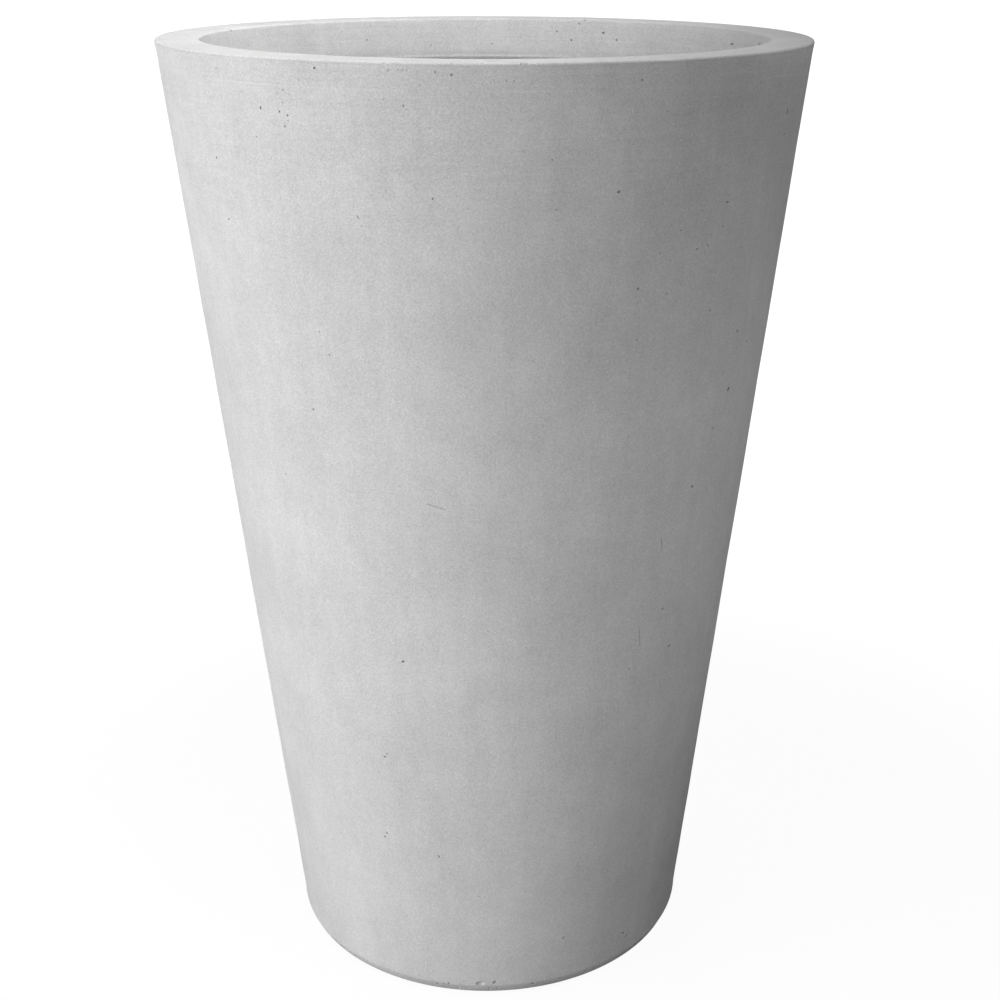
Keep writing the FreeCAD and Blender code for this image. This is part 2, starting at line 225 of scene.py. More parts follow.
# Air holes, chips and scratches in the casting: the pixel of the photograph where the camera sees each,
# its width and height there in pixels, its lean in degrees and its depth as a share of half its width
SEEN_PITS = (
    (260.5, 107.8, 2.4, 3.0, 0, 2.0), (279.7, 111.6, 2.4, 2.4, 0, 1.4), (287.6, 115.4, 2.4, 2.0, -20, 1.6),
    (288.5, 120.4, 2.4, 1.4, 0, 0.6), (285.5, 126.5, 2.6, 2.6, 0, 0.8), (282.5, 102.5, 2.0, 2.0, 0, 0.9),
    (277.8, 93.0, 1.7, 1.8, 0, 0.6), (283.0, 90.0, 2.0, 2.0, 0, 0.8), (289.5, 94.5, 1.6, 2.4, 0, 0.6),
    (299.0, 80.0, 2.4, 2.0, 0, 0.5), (314.3, 68.2, 2.6, 2.6, 0, 1.4), (216.5, 157.5, 1.9, 1.9, 0, 2.0),
    (257.0, 136.7, 2.0, 2.0, 0, 0.6), (216.5, 68.0, 3.2, 1.8, 40, 0.4), (301.0, 126.0, 2.2, 1.6, 0, 0.5),
    (435.5, 71.8, 3.0, 2.2, -35, 0.9), (451.7, 74.8, 3.2, 2.2, 20, 1.2), (506.6, 80.5, 2.0, 3.6, 25, 0.9),
    (514.5, 81.5, 3.0, 2.0, 0, 0.7), (524.0, 81.0, 1.6, 3.4, -30, 0.4), (532.5, 82.5, 2.0, 3.8, -35, 1.0),
    (533.0, 75.0, 1.6, 1.6, 0, 0.8), (550.0, 94.2, 1.8, 1.8, 0, 0.7), (403.5, 105.7, 2.2, 2.2, 0, 1.2),
    (407.2, 109.2, 1.8, 1.8, 0, 0.6), (433.0, 198.8, 2.2, 2.4, 0, 1.4), (552.5, 159.8, 2.2, 2.4, 0, 1.4),
    (552.5, 200.0, 2.6, 1.4, 0, 0.5), (556.5, 209.5, 3.0, 2.0, 0, 1.0), (384.0, 99.5, 2.0, 2.0, 0, 0.5),
    (642.2, 80.0, 2.2, 2.6, 0, 1.8), (667.8, 111.0, 2.2, 2.2, 0, 1.1), (787.3, 111.0, 1.8, 8.0, -14, 2.6),
    (619.0, 192.0, 3.6, 2.6, 25, 2.2), (692.7, 150.5, 1.8, 1.8, 0, 0.9), (727.3, 202.0, 3.6, 1.8, -10, 1.8),
    (687.5, 66.5, 2.0, 2.0, 0, 0.8), (784.0, 134.0, 2.0, 2.0, 0, 0.8), (697.2, 249.0, 2.4, 2.4, 0, 1.7),
    (707.4, 245.0, 2.0, 2.0, 0, 1.2), (695.3, 255.0, 3.0, 2.0, 0, 0.4), (660.0, 252.5, 2.0, 2.0, 0, 1.1),
    (683.0, 272.7, 2.0, 2.0, 0, 1.2), (666.5, 293.8, 2.0, 2.2, 0, 2.4), (710.0, 310.2, 2.0, 2.2, 0, 2.4),
    (699.8, 328.8, 3.0, 1.8, 25, 0.5), (737.2, 331.0, 2.0, 3.0, -25, 2.6), (746.5, 341.5, 2.0, 2.0, 0, 2.2),
    (681.0, 230.0, 3.0, 1.6, 0, 1.0), (403.0, 661.6, 3.4, 2.0, 45, 2.4), (408.0, 651.0, 1.8, 1.8, 0, 0.8),
    (563.6, 937.6, 3.2, 1.8, 35, 2.8), (625.8, 935.4, 3.6, 1.9, 40, 3.2), (480.3, 983.6, 9.4, 5.2, 3, 0.6),
    (494.6, 982.2, 5.2, 3.0, 30, 1.2), (449.0, 983.4, 2.6, 2.4, 0, 2.0), (444.0, 983.4, 2.2, 1.8, 0, 1.4),
    (437.6, 983.4, 2.4, 2.0, 0, 1.6), (434.0, 982.0, 2.0, 1.8, 0, 1.0), (458.4, 987.4, 3.6, 2.6, 0, 0.9),
    (468.0, 988.0, 3.4, 2.2, 0, 0.8), (490.0, 988.2, 4.2, 2.2, 10, 0.8), (498.0, 987.4, 3.2, 2.0, 0, 0.8),
    (187.0, 35.5, 2.6, 1.6, 0, 1.0), (231.0, 30.0, 2.6, 1.4, 0, 1.0), (773.0, 34.0, 2.6, 1.4, 0, 1.2),
    (779.0, 37.0, 2.4, 1.4, 0, 1.0), (786.5, 35.0, 3.2, 1.4, 0, 1.2), (732.0, 44.0, 2.2, 2.0, 0, 2.0),
    (759.0, 44.0, 2.2, 2.0, 0, 2.0), (584.7, 20.4, 2.4, 2.0, 0, 2.4), (579.2, 23.8, 2.2, 2.0, 0, 2.6),
    (557.0, 31.4, 2.4, 1.8, 0, 2.4), (571.4, 40.2, 2.2, 1.8, 0, 2.4), (603.4, 32.8, 2.2, 2.0, 0, 2.6),
    (616.6, 40.2, 2.0, 2.0, 0, 2.4), (367.0, 40.0, 2.4, 1.8, 0, 1.0), (370.0, 26.0, 2.0, 2.0, 0, 1.0),
    (430.4, 45.4, 1.8, 1.8, 0, 1.8), (491.4, 43.6, 2.0, 1.8, 0, 2.2), (436.0, 506.8, 22.0, 1.5, -14, 0.11),
    (639.3, 637.0, 1.4, 24.0, 2, 1.4), (728.3, 389.0, 3.0, 4.0, 0, 2.8), (638.1, 288.8, 2.0, 3.6, -30, 3.0),
    (692.0, 486.5, 2.1, 3.0, -35, 3.0), (669.3, 645.6, 3.2, 2.0, 25, 3.2), (358.0, 217.3, 1.8, 4.4, 30, 1.2),
    (362.0, 226.0, 1.4, 2.4, -20, 1.2), (439.0, 856.3, 1.4, 3.8, 25, 2.0), (384.9, 757.0, 1.9, 2.3, 0, 3.2),
    (387.1, 753.6, 1.7, 1.9, 0, 2.4), (385.0, 836.5, 2.0, 2.1, 0, 2.6), (387.0, 833.0, 1.8, 1.9, 0, 2.4),
    (662.4, 608.8, 2.0, 2.0, 0, 2.4), (329.3, 354.6, 1.9, 1.9, 0, 1.6), (229.0, 219.0, 1.9, 1.9, 0, 2.6),
    (313.3, 409.3, 1.9, 1.9, 0, 2.4), (479.0, 896.3, 1.8, 1.8, 0, 1.2), (712.8, 428.0, 3.2, 1.5, 35, 1.4),
    (286.0, 474.3, 1.3, 2.8, 25, 0.8), (319.3, 332.0, 1.3, 2.4, 25, 1.4), (661.6, 545.0, 1.3, 16.0, 4, 1.4),
    (629.3, 668.6, 1.5, 2.8, -35, 1.8), (636.3, 339.9, 1.8, 2.0, 0, 2.2), (722.8, 225.9, 1.8, 1.8, 0, 2.0),
    (623.0, 933.0, 1.8, 2.8, 25, 2.6), (388.3, 70.0, 1.8, 3.6, -35, 1.0), (398.6, 69.8, 1.6, 3.0, -40, 0.8),
    (403.0, 70.4, 1.6, 3.0, -40, 0.7), (407.5, 69.8, 1.6, 2.8, -40, 0.7),
)
# Chips off the rim's outer arris, the same way
SEEN_CHIPS = (
    (384.5, 63.6, 4.5, 3.2, 20, 0.35), (394.0, 63.6, 5.0, 2.6, 0, 0.35), (452.0, 64.0, 2.6, 2.4, 0, 0.8),
    (521.0, 64.3, 3.4, 3.4, 0, 0.8), (526.5, 64.2, 2.6, 2.6, 0, 0.8), (601.0, 62.9, 2.6, 2.4, 0, 0.7),
)
# The least cosine that a mark's width and height are divided by, so that a flat view doesn't stretch it far
OBLIQUE_LEAST = 0.3
# The same kind of marks round the rest of the pot: how many holes, half their width in millimetres, the
# ranges of their height and depth as shares of that, and how they thin out downwards from the rim
CASTING_SEED = 11
OTHER_PITS = 120
PIT_SIZES = (0.8, 0.9, 1.0, 1.0, 1.2, 1.6)
PIT_HEIGHTS = (0.7, 1.2)
PIT_DEPTHS = (0.5, 1.6)
PIT_TOP = 0.012
PIT_REACH = 0.86
PIT_CROWDING = 1.6
# Chips: how many at each arris, their size in millimetres, and for the rim's and the base's arris the height,
# half width and half height as shares of the size, and the depth as a share of half the width
OTHER_CHIPS = 26
CHIP_SIZES = (1.2, 3.0)
CHIPPED_ARRISES = ((TOP - 1.0 * MM, 1.0, 0.7, 0.5), (FOOT + 9 * MM, 1.2, 0.8, 0.6))
# The most lean in degrees, the gap between marks, and the height up to which they also go on the front
OTHER_LEAN = 25
MARK_GAP = 3 * MM
LOW_MARKS = 30 * MM
# Unevenness of a mark's inside, as a share of its least half width, half height or depth
MARK_ROUGHNESS = 0.12
# Points nearer than this after the cutting are one point
SAME_POINT = 0.01 * MM

# Light that the white room gives off to everything but the camera
AMBIENT = 0.473
# Studio lamps: name, place, aim, edge of the softbox, spread in degrees and radiance
MIDDLE = (0, 0, 0.5)
LAMPS = (
    ("key_softbox", (-2.25, -1.30, 0.68), MIDDLE, 1.8, 180, 5.15),
    ("left_softbox", (-1.81, -1.81, 0.95), MIDDLE, 1.8, 180, 1.45),
    ("right_softbox", (1.80, -1.90, 0.55), (0.15, -0.15, 0.47), 0.3, 20, 0.40),
    ("low_softbox", (-0.90, -2.50, 0.45), (-0.05, -0.20, 0.18), 0.3, 20, 0.20),
    ("rim_softbox", (-0.12, -0.30, 1.90), (-0.10, -0.27, 0.90), 0.4, 40, 1.07),
    ("rim_back_softbox", (0.25, 0.60, 1.90), (0.15, 0.25, 0.90), 0.4, 40, 0.40),
    ("mouth_softbox", (0.0, -0.3, 2.0), (-0.2, 0.1, 0.9), 0.4, 40, 1.51),
    ("lip_left_softbox", (0.45, -0.10, 1.15), (-0.26, 0.05, 0.88), 0.25, 30, 0.62),
    ("lip_back_softbox", (0.30, -0.28, 1.10), (-0.15, 0.20, 0.88), 0.25, 40, 0.44),
    ("lip_middle_softbox", (0.10, -0.30, 1.15), (0.05, 0.26, 0.88), 0.25, 40, 0.40),
)
# The paper floor, a hair below the pads, and the share of the pot's shadow that the camera sees on it, which
# fades out between two distances
FLOOR_SIZE = 60
FLOOR_GAP = 0.1 * MM
PAPER = "#a8a8a8"
PAPER_GLOW = 1.1
SHADOW_SHARE = 0.14
SHADOW_FADE = (0.5, 1.6)
# A dark card on the floor that keeps bounced light off the shadow side, soft from this share of its radius
CARD = "#1c1c1c"
CARD_AT = (0.58, -0.02, 0)
CARD_RADIUS = 0.47
CARD_EDGE = 0.7

# Sockets of the Mix node that carry colours
MIX_FIRST, MIX_SECOND, MIX_RESULT = 6, 7, 2

# Patterns in the cement: the distance between their blotches, their detail and their weight in its tone. Real
# sand is finer, and is drawn here about a pixel of the photograph apart, as coarse as it needs to show
CEMENT_PATTERNS = {
    "drifts": (260 * MM, 2, 0.46),
    "clouds": (90 * MM, 3, 0.41),
    "patches": (28 * MM, 3, 0.30),
    "spots": (7 * MM, 2, 0.20),
    "grain": (2.2 * MM, 1, 0.42),
    "sand": (1.0 * MM, 1, 1.55),
    "runs": (12 * MM, 2, 0.25),
    "rubbing": (3 * MM, 2, 0.32),
}
# Patterns that are drawn out, upright or level, by a scale below 1 along their run
DRAWN_OUT = {"runs": (1, 1, 0.06), "rubbing": (0.05, 0.05, 1)}
# Weights of the patterns that stand in relief, beside the rubbing
CEMENT_RELIEF = {"sand": 0.5, "grain": 0.5, "spots": 0.3}
RELIEF_STRENGTH = 0.7
RELIEF_HEIGHT = 0.3 * MM
CEMENT_DARK, CEMENT_LIGHT = "#a8a8a8", "#d0d0d0"
CEMENT_ROUGHNESS = (0.74, 0.86)
CEMENT_SPECULAR = 0.3
# The heights between which the rubbing marks grow to their full weight
RUBBING_FROM, RUBBING_FULL = TOP - 0.22, TOP - 0.03
# The line where the cast was struck off: drop below the rim, half width of its core and its edge, the levels
# of the clouds between which it breaks off, and its tone
STRIKE_LINE = 21.5 * MM
LINE_CORE, LINE_EDGE = 0.2 * MM, 1.0 * MM
LINE_BREAK = (0.42, 0.56)
LINE_TONE = 0.16
# Painted shade on the rim's rounded arrises, which dims the line of light that they catch: the heights
# between which it starts and ends, its share at the mouth, its tone
ARRIS_FROM, ARRIS_FULL = TOP - 3.2 * MM, TOP - 1.9 * MM
ARRIS_FADES, ARRIS_END = TOP - 0.6 * MM, TOP - 0.25 * MM
ARRIS_SHADE_AT_MOUTH = 0.6
ARRIS_SHADE_TONE = -0.25
# Tiny air holes, drawn as painted shade in their mouths: the distance between the places for one, the share
# of the places that stay whole, the largest radius as a share of that distance, and how much of the painted
# shade shows
HOLE_CELL = 7 * MM
HOLE_CHANCE = 0.72
HOLE_LARGEST = 0.11
HOLE_SHADE_COLOUR, HOLE_SHADE_SHARE = "#6e6e6e", 0.35
# Painted shade on the edge at the foot, where it turns down towards the floor: the heights between which it
# ends, and how much of it shows
FOOT_SHADE_FULL, FOOT_SHADE_END = BASE_EDGE_TOP - 0.5 * MM, BASE_EDGE_TOP + 1.0 * MM
FOOT_SHADE_COLOUR, FOOT_SHADE_SHARE = "#8c8c8c", 0.12

# Rubber: the bloom's blotches and their detail, the range of its roughness, and its grain and relief
BLOOM_SIZE, BLOOM_DETAIL = 9 * MM, 3
RUBBER_ROUGHNESS = (0.55, 0.75)
RUBBER_GRAIN_DETAIL, RUBBER_GRAIN_ROUGHNESS = 2, 0.6
RUBBER_RELIEF_STRENGTH, RUBBER_RELIEF_HEIGHT = 0.4, 0.1 * MM
# The levels that most of a noise pattern lies between
NOISE_LOW, NOISE_HIGH = 0.3, 0.7


def linear(hex_colour):
    """A written sRGB colour as linear red, green, blue and alpha."""
    def channel(level):
        return level / 12.92 if level <= 0.04045 else ((level + 0.055) / 1.055) ** 2.4
    levels = [int(hex_colour[place:place + 2], 16) / 255 for place in (1, 3, 5)]
    return (*map(channel, levels), 1.0)


def add_node(tree, kind, inputs=None, **settings):
    """Add a node with its settings, and set or link each of its inputs."""
    made = tree.nodes.new(kind)
    for name, value in settings.items():
        setattr(made, name, value)
    for socket, value in (inputs or {}).items():
        if isinstance(value, bpy.types.NodeSocket):
            tree.links.new(value, made.inputs[socket])
        else:
            made.inputs[socket].default_value = value
    return made


def new_material(name):
    """An empty node material, and the tree that it is drawn in."""
    material = bpy.data.materials.new(name)
    material.use_nodes = True
    material.node_tree.nodes.clear()
    return material, material.node_tree


def make_camera():
    """The camera where the photograph was taken from, with its off-centre crop."""
    bpy.ops.object.camera_add()
    camera = bpy.context.object
    camera.name = "photo_camera"
    turn = Matrix.Rotation(math.pi / 2 - CAMERA_PITCH, 4, "X") @ Matrix.Rotation(CAMERA_ROLL, 4, "Z")
    camera.matrix_world = Matrix.Translation(CAMERA_AT) @ turn
    camera.data.sensor_width = SENSOR_WIDTH
    camera.data.lens = SENSOR_WIDTH * FOCAL_PIXELS / PHOTO_WIDTH
    camera.data.shift_x = 0.5 - PRINCIPAL_PIXEL[0] / PHOTO_WIDTH
    camera.data.shift_y = PRINCIPAL_PIXEL[1] / PHOTO_WIDTH - 0.5
    bpy.context.scene.camera = camera
    bpy.context.view_layer.update()
    return camera


def photo_direction(camera, x, y):
    """The direction in which the camera sees a pixel of the photograph."""
    across = (x - PRINCIPAL_PIXEL[0]) / FOCAL_PIXELS
    down = (y - PRINCIPAL_PIXEL[1]) / FOCAL_PIXELS
    return (camera.matrix_world.to_3x3() @ Vector((across, -down, -1))).normalized()


def raise_rings(name, corners, segments):
    """Model a turned shape from a ring of edges, extruded and scaled from corner to corner."""
    bpy.ops.object.select_all(action="DESELECT")
    (radius, height), *others = corners
    bpy.ops.mesh.primitive_circle_add(vertices=segments, radius=radius, location=(0, 0, height))
    bpy.ops.object.transform_apply(location=True, rotation=False, scale=False)
    piece = bpy.context.object
    piece.name = name
    piece.data.name = name
    bpy.ops.object.mode_set(mode="EDIT")
    bpy.ops.mesh.select_mode(type="EDGE")
    bpy.ops.mesh.select_all(action="SELECT")
    for next_radius, next_height in others:
        rise = {"value": (0, 0, next_height - height)}
        bpy.ops.mesh.extrude_edges_move(TRANSFORM_OT_translate=rise)
        grow = next_radius / radius
        bpy.ops.transform.resize(value=(grow, grow, 1), center_override=(0, 0, next_height))
        radius, height = next_radius, next_height
    bpy.ops.object.mode_set(mode="OBJECT")
    return piece


def select_edges(piece, wanted):
    """Leave the piece in edit mode with only the edges selected whose two ends pass a test."""
    bpy.ops.object.mode_set(mode="EDIT")
    bpy.ops.mesh.select_mode(type="EDGE")
    bpy.ops.mesh.select_all(action="DESELECT")
    bpy.ops.object.mode_set(mode="OBJECT")
    places = [(math.hypot(vertex.co.x, vertex.co.y), vertex.co.z) for vertex in piece.data.vertices]
    for edge in piece.data.edges:
        start, end = edge.vertices
        edge.select = wanted(places[start], places[end])
    bpy.ops.object.mode_set(mode="EDIT")


def on_ring(corner):
    """A test for edges that lie along the ring at a corner."""
    def wanted(start, end):
        return math.dist(start, corner) < RING_SLACK and math.dist(end, corner) < RING_SLACK
    return wanted


def along_run(first, second):
    """A test for edges that run straight from one corner's ring to the next one's."""
    middle = ((first[0] + second[0]) / 2, (first[1] + second[1]) / 2)
    span = math.dist(first, second)

    def wanted(start, end):
        centre = ((start[0] + end[0]) / 2, (start[1] + end[1]) / 2)
        long_enough = math.dist(start, end) > RUN_LEAST * span
        return long_enough and math.dist(centre, middle) < RUN_OFF_MIDDLE * span
    return wanted


def bevel_ring(piece, corner, offset, segments):
    """Round the edge at a corner's ring."""
    select_edges(piece, on_ring(corner))
    bpy.ops.mesh.bevel(offset=offset, segments=segments, profile=0.5, affect="EDGES")
    bpy.ops.object.mode_set(mode="OBJECT")


def divide_run(piece, first, second, cuts):
    """Cut the faces between two corners' rings with more rings."""
    select_edges(piece, along_run(first, second))
    bpy.ops.mesh.subdivide(number_cuts=cuts)
    bpy.ops.object.mode_set(mode="OBJECT")


def cast_shell():
    """The casting as it leaves the mould: wall, folded-in rim, floor, foot ring and drain."""
    corners = SHELL_CORNERS
    shell = raise_rings("pot_shell_cast", list(corners.values()), SHELL_SEGMENTS)

    def at_drain(start, end):
        return on_ring(corners["drain_outlet"])(start, end) or on_ring(corners["drain_inlet"])(start, end)
    select_edges(shell, at_drain)
    bpy.ops.mesh.bridge_edge_loops()
    bpy.ops.mesh.select_all(action="SELECT")
    bpy.ops.mesh.normals_make_consistent(inside=False)
    bpy.ops.object.mode_set(mode="OBJECT")
    for corner, offset, segments in SHELL_ROUNDINGS:
        bevel_ring(shell, corners[corner], offset, segments)
    for first, second, cuts in SHELL_DIVISIONS:
        divide_run(shell, corners[first], corners[second], cuts)
    return shell


def only(piece):
    """Leave one piece selected and active."""
    bpy.ops.object.select_all(action="DESELECT")
    piece.select_set(True)
    bpy.context.view_layer.objects.active = piece


def uneven(piece, name, chosen, depth, size):
    """Wear a part of the surface inward by up to a depth, in soft hollows of a given size."""
    group = piece.vertex_groups.new(name=name)
    group.add([vertex.index for vertex in piece.data.vertices if chosen(vertex)], 1.0, "REPLACE")
    texture = bpy.data.textures.new(name, "CLOUDS")
    texture.noise_scale = size
    texture.noise_depth = 2
    only(piece)
    wear = piece.modifiers.new(name, "DISPLACE")
    wear.texture = texture
    wear.texture_coords = "LOCAL"
    wear.vertex_group = name
    wear.mid_level = 1.0
    wear.strength = depth
    bpy.ops.object.modifier_apply(modifier=name)
    piece.vertex_groups.remove(piece.vertex_groups[name])


def on_outer_wall(vertex):
    """Whether a point lies on the outer wall, away from its two ends."""
    height = vertex.co.z
    radius = math.hypot(vertex.co.x, vertex.co.y)
    between = BASE_EDGE_TOP + OUTER_FOOT_MARGIN < height < TOP - OUTER_TOP_MARGIN
    return between and radius > outer_radius(height) - ON_WALL


def on_rim(vertex):
    """Whether a point lies on the rim's top or the face of its lip."""
    radius = math.hypot(vertex.co.x, vertex.co.y)
    return vertex.co.z > LIP_BOTTOM + LIP_MARGIN and radius < RIM_RADIUS - RIM_EDGE_MARGIN


def on_inner_wall(vertex):
    """Whether a point lies on the inner wall, away from the floor and the haunch."""
    height = vertex.co.z
    radius = math.hypot(vertex.co.x, vertex.co.y)
    between = FLOOR_EDGE + INNER_FOOT_MARGIN < height < HAUNCH - INNER_TOP_MARGIN
    return between and radius < inner_radius(height) + ON_WALL


def seen_marks(piece, camera, marks):
    """Where each mark of the photograph lies on a piece, with its way in and its size."""
    found = []
    eye = camera.matrix_world.to_3x3()
    across, up, back = eye.col[0], eye.col[1], eye.col[2]
    for x, y, wide, high, lean, depth in marks:
        hit, spot, normal, _ = piece.ray_cast(CAMERA_AT, photo_direction(camera, x, y))
        if not hit:
            continue
        metres = (CAMERA_AT - spot).dot(back) / FOCAL_PIXELS
        side = (across - across.dot(normal) * normal).normalized()
        rise = normal.cross(side)
        half_wide = 0.5 * wide * metres / max(abs(side.dot(across)), OBLIQUE_LEAST)
        half_high = 0.5 * high * metres / max(abs(rise.dot(up)), OBLIQUE_LEAST)
        found.append((spot, side, normal, half_wide, half_high, lean, depth * half_wide))
    return found


def other_marks(piece, taken):
    """Marks set by a seed where the camera doesn't look: the back, and all along the base's arris."""
    chance = random.Random(CASTING_SEED)
    found = []

    def set_mark(height, half_wide, half_high, depth):
        turn = chance.uniform(0, 2 * math.pi)
        way = Vector((math.cos(turn), math.sin(turn), 0))
        hit, spot, normal, _ = piece.ray_cast(Vector((0, 0, height)) + way, -way)
        if not hit or (height > LOW_MARKS and normal.dot(CAMERA_AT - spot) > 0):
            return
        if any((spot - mark[0]).length < half_wide + mark[3] + MARK_GAP for mark in taken + found):
            return
        side = Vector((0, 0, 1)).cross(normal).normalized()
        lean = chance.uniform(-OTHER_LEAN, OTHER_LEAN)
        found.append((spot, side, normal, half_wide, half_high, lean, depth * half_wide))

    for _ in range(OTHER_PITS):
        size = MM * chance.choice(PIT_SIZES)
        height = TOP - PIT_REACH * chance.random() ** PIT_CROWDING - PIT_TOP
        set_mark(height, size, size * chance.uniform(*PIT_HEIGHTS), chance.uniform(*PIT_DEPTHS))
    for _ in range(OTHER_CHIPS):
        size = MM * chance.uniform(*CHIP_SIZES)
        for height, wide, high, depth in CHIPPED_ARRISES:
            set_mark(height, size * wide, size * high, depth)
    return found


def cut_marks(piece, marks):
    """Cut every mark out of a piece, each with a small rough ball of its own."""
    cutter = bpy.data.objects.new("pit_cutter", bpy.data.meshes.new("pit_cutter"))
    bpy.context.collection.objects.link(cutter)
    only(cutter)
    bpy.ops.object.mode_set(mode="EDIT")
    for number, (spot, side, normal, half_wide, half_high, lean, depth) in enumerate(marks):
        turn = Matrix.Rotation(math.radians(lean), 3, normal)
        side = turn @ side
        axes = Matrix((side, normal.cross(side), normal)).transposed()
        bpy.ops.mesh.select_all(action="DESELECT")
        bpy.ops.mesh.primitive_ico_sphere_add(
            subdivisions=2 if number < len(SEEN_PITS) else 1, radius=1, location=spot,
            rotation=axes.to_euler(), scale=(half_wide, half_high, depth))
        rough = MARK_ROUGHNESS * min(half_wide, half_high, depth)
        bpy.ops.transform.vertex_random(offset=rough, uniform=1.0, normal=0.0, seed=number)
    bpy.ops.mesh.select_all(action="SELECT")
    bpy.ops.mesh.normals_make_consistent(inside=False)
    bpy.ops.object.mode_set(mode="OBJECT")
    only(piece)
    cut = piece.modifiers.new("pits", "BOOLEAN")
    cut.operation = "DIFFERENCE"
    cut.object = cutter
    cut.solver = "MANIFOLD"
    bpy.ops.object.modifier_apply(modifier=cut.name)
    bpy.data.objects.remove(cutter)
    clean_cuts(piece)


def clean_cuts(piece):
    """Merge points that the cutting left almost on one another, and take out points within an edge."""
    bpy.ops.object.mode_set(mode="EDIT")
    bpy.ops.mesh.select_mode(type="VERT")
    bpy.ops.mesh.select_all(action="SELECT")
    bpy.ops.mesh.remove_doubles(threshold=SAME_POINT)
    bpy.ops.mesh.select_all(action="DESELECT")
    bpy.ops.object.mode_set(mode="OBJECT")
    edges_at = Counter(end for edge in piece.data.edges for end in edge.vertices)
    for vertex in piece.data.vertices:
        vertex.select = edges_at[vertex.index] == 2
    bpy.ops.object.mode_set(mode="EDIT")
    bpy.ops.mesh.dissolve_verts()
    bpy.ops.object.mode_set(mode="OBJECT")


def mould_plug():
    """The rubber plug, moulded in one: ribbed stem, flange, neck and knob."""
    plug = raise_rings("drain_plug_moulded", PLUG_CORNERS, PLUG_SEGMENTS)
    for end in (PLUG_CORNERS[0], PLUG_CORNERS[-1]):
        select_edges(plug, on_ring(end))
        bpy.ops.mesh.edge_face_add()
        bpy.ops.object.mode_set(mode="OBJECT")
    bpy.ops.object.mode_set(mode="EDIT")
    bpy.ops.mesh.select_all(action="SELECT")
    bpy.ops.mesh.normals_make_consistent(inside=False)
    bpy.ops.object.mode_set(mode="OBJECT")
    for corner, offset, segments in PLUG_ROUNDINGS:
        bevel_ring(plug, corner, offset, segments)
    return plug


def stage_paper():
    """White paper: to the camera white but for a share of the pot's soft shadow, and to the light plain matt
    paper, with the dark card on it, which the camera doesn't see."""
    material, tree = new_material("white_paper")
    place = add_node(tree, "ShaderNodeTexCoord").outputs["Object"]
    path = add_node(tree, "ShaderNodeLightPath")
    distance = add_node(tree, "ShaderNodeVectorMath", {0: place}, operation="LENGTH").outputs["Value"]
    fade = add_node(tree, "ShaderNodeMapRange", {
        "Value": distance, "From Min": SHADOW_FADE[0], "From Max": SHADOW_FADE[1],
        "To Min": 1 - SHADOW_SHARE, "To Max": 1.0}, interpolation_type="SMOOTHSTEP").outputs["Result"]
    share = add_node(tree, "ShaderNodeMath", {
        0: path.outputs["Is Camera Ray"], 1: fade}, operation="MULTIPLY").outputs[0]
    off_card = add_node(tree, "ShaderNodeVectorMath", {
        0: place, 1: CARD_AT}, operation="DISTANCE").outputs["Value"]
    card = add_node(tree, "ShaderNodeMapRange", {
        "Value": off_card, "From Min": CARD_EDGE * CARD_RADIUS, "From Max": CARD_RADIUS,
        "To Min": 1.0, "To Max": 0.0}, interpolation_type="SMOOTHSTEP").outputs["Result"]
    unseen = add_node(tree, "ShaderNodeMath", {
        0: 1.0, 1: path.outputs["Is Camera Ray"]}, operation="SUBTRACT").outputs[0]
    card = add_node(tree, "ShaderNodeMath", {0: card, 1: unseen}, operation="MULTIPLY").outputs[0]
    colour = add_node(tree, "ShaderNodeMix", {
        "Factor": card, MIX_FIRST: linear(PAPER), MIX_SECOND: linear(CARD)},
        data_type="RGBA").outputs[MIX_RESULT]
    paper = add_node(tree, "ShaderNodeBsdfDiffuse", {"Color": colour}).outputs[0]
    white = add_node(tree, "ShaderNodeEmission", {
        "Color": linear("#ffffff"), "Strength": PAPER_GLOW}).outputs[0]
    mix = add_node(tree, "ShaderNodeMixShader", {0: share, 1: paper, 2: white})
    add_node(tree, "ShaderNodeOutputMaterial", {"Surface": mix.outputs[0]})
    return material


def weigh(tree, parts):
    """The sum of weighted patterns, each counted from its middle, about one half."""
    total = 0.5
    for pattern, weight in parts:
        swing = add_node(tree, "ShaderNodeMath", {0: pattern, 1: 0.5}, operation="SUBTRACT").outputs[0]
        total = add_node(tree, "ShaderNodeMath", {
            0: swing, 1: weight, 2: total}, operation="MULTIPLY_ADD").outputs[0]
    return total


